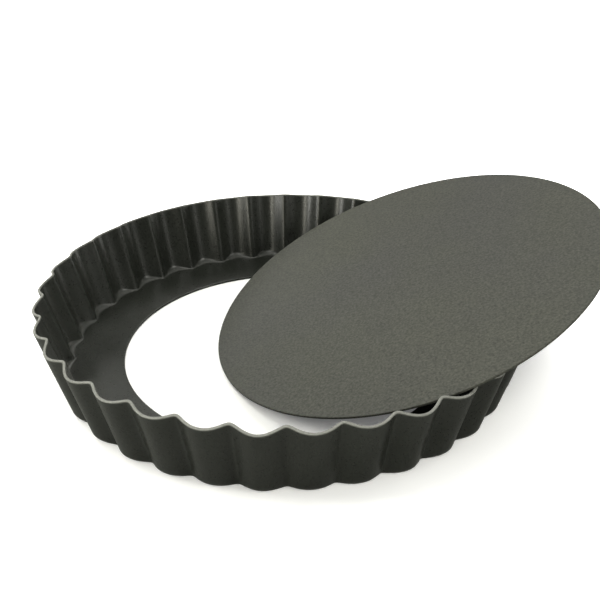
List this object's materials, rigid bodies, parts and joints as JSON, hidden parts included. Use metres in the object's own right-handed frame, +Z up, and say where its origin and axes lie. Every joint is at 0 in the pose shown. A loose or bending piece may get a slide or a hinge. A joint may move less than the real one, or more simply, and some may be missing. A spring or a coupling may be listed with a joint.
{
  "type": "tart pan",
  "caption": "Round fluted tart ring with an inward ledge and a large round opening, and a flat loose base that leans through it and lifts free.",
  "frame": {"origin": "the ring's axis where it meets the table under the foot", "axes": "+Z up along the ring's axis; +X through a flute crest, on the side that the loose base rises towards"},
  "size_m": [0.1354, 0.1196, 0.0363],
  "materials": {
    "ring_coating": "satin dark grey-green release coating on pressed steel",
    "base_coating": "fine-grained satin warm grey release coating on flat steel"
  },
  "bodies": {
    "ring": {"fluted_ring": "ring_coating"},
    "base": {"loose_base": "base_coating"}
  },
  "joints": [
    {"name": "base_lift", "type": "slide", "parent": "ring", "child": "base", "axis": [0, 0, 1], "range_m": [0, 0.03]}
  ]
}
